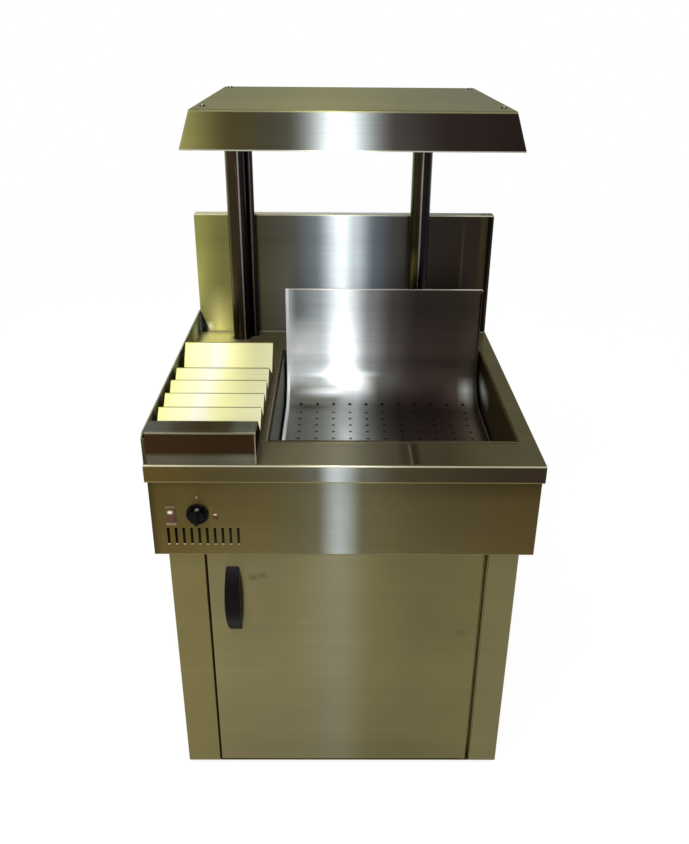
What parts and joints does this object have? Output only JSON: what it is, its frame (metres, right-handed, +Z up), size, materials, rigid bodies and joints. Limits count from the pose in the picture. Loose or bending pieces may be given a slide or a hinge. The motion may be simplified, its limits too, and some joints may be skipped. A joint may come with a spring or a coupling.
{
  "type": "heated chip warmer",
  "caption": "Free-standing heated chip warmer: cupboard base with door, heated well with perforated lift-out scoop, stepped carton rack, heated hood on two posts and rear upstand.",
  "frame": {"origin": "on the floor, under the middle of the worktop, which is the middle of the bottom of the bounding box", "axes": "+Z up, +X to the operator's right, +Y to the back; the operator stands on the -Y side"},
  "size_m": [0.8, 0.8318, 1.5005],
  "materials": {
    "side_panel_left": "satin",
    "side_panel_right": "satin",
    "cabinet_back": "satin",
    "cabinet_floor": "satin",
    "top_rail": "satin",
    "levelling_feet": "moulded",
    "door_outer": "satin",
    "door_inner": "satin",
    "hinge_pins": "turned",
    "hinge_bushes": "turned",
    "door_handle": "moulded",
    "handle_screws": "satin",
    "door_catch": "moulded",
    "catch_plate": "satin",
    "control_fascia": "satin",
    "housing_side_left": "satin",
    "housing_side_right": "satin",
    "housing_back": "satin",
    "housing_floor": "satin",
    "worktop": "satin",
    "splashback": "satin",
    "well_liner": "satin",
    "scoop_rests": "mill",
    "heating_element": "oxidised",
    "element_supports": "mill",
    "chip_scoop": "satin",
    "rack_side_wall": "satin",
    "rack_front_box": "satin",
    "rack_dividers": "satin",
    "post_left": "polished",
    "post_right": "polished",
    "post_socket_left": "mill",
    "post_socket_right": "mill",
    "wiring_conduit": "polished",
    "hood_shell": "satin",
    "hood_arm_left": "mill",
    "hood_arm_right": "mill",
    "hood_rear_bar": "mill",
    "reflector": "polished",
    "lamp_holders": "glazed ceramic",
    "heat_lamps": "clear quartz",
    "hood_screws": "satin",
    "control_knob": "moulded",
    "regulator": "moulded",
    "rocker_bezel": "moulded",
    "rocker": "moulded",
    "rocker_pin": "satin",
    "pilot_light": "moulded",
    "pilot_lens": "translucent",
    "terminal_box": "moulded",
    "cable_gland": "moulded"
  },
  "bodies": {
    "cabinet": {"side_panel_left": "side_panel_left", "side_panel_right": "side_panel_right", "cabinet_back": "cabinet_back", "cabinet_floor": "cabinet_floor", "top_rail": "top_rail", "levelling_feet": "levelling_feet", "hinge_bushes": "hinge_bushes", "door_catch": "door_catch", "control_fascia": "control_fascia", "housing_side_left": "housing_side_left", "housing_side_right": "housing_side_right", "housing_back": "housing_back", "housing_floor": "housing_floor", "worktop": "worktop", "splashback": "splashback", "well_liner": "well_liner", "scoop_rests": "scoop_rests", "heating_element": "heating_element", "element_supports": "element_supports", "rack_side_wall": "rack_side_wall", "rack_front_box": "rack_front_box", "rack_dividers": "rack_dividers", "post_left": "post_left", "post_right": "post_right", "post_socket_left": "post_socket_left", "post_socket_right": "post_socket_right", "wiring_conduit": "wiring_conduit", "hood_shell": "hood_shell", "hood_arm_left": "hood_arm_left", "hood_arm_right": "hood_arm_right", "hood_rear_bar": "hood_rear_bar", "reflector": "reflector", "lamp_holders": "lamp_holders", "heat_lamps": "heat_lamps", "hood_screws": "hood_screws", "regulator": "regulator", "rocker_bezel": "rocker_bezel", "rocker_pin": "rocker_pin", "pilot_light": "pilot_light", "pilot_lens": "pilot_lens", "terminal_box": "terminal_box", "cable_gland": "cable_gland"},
    "door": {"door_outer": "door_outer", "door_inner": "door_inner", "hinge_pins": "hinge_pins", "door_handle": "door_handle", "handle_screws": "handle_screws", "catch_plate": "catch_plate"},
    "scoop": {"chip_scoop": "chip_scoop"},
    "knob": {"control_knob": "control_knob"},
    "switch": {"rocker": "rocker"}
  },
  "joints": [
    {"name": "door_hinge", "type": "hinge", "parent": "cabinet", "child": "door", "pos_m": [0.2915, -0.356, 0.32275], "axis": [0, 0, 1], "range_deg": [0, 110]},
    {"name": "scoop_lift", "type": "slide", "parent": "cabinet", "child": "scoop", "axis": [0, 0, 1], "range_m": [0, 0.25]},
    {"name": "knob_turn", "type": "hinge", "parent": "cabinet", "child": "knob", "pos_m": [-0.3005, -0.392, 0.7375], "axis": [0, 1, 0], "range_deg": [0, 270]},
    {"name": "switch_rock", "type": "hinge", "parent": "cabinet", "child": "switch", "pos_m": [-0.355, -0.387, 0.7335], "axis": [1, 0, 0], "range_deg": [0, 12]}
  ]
}
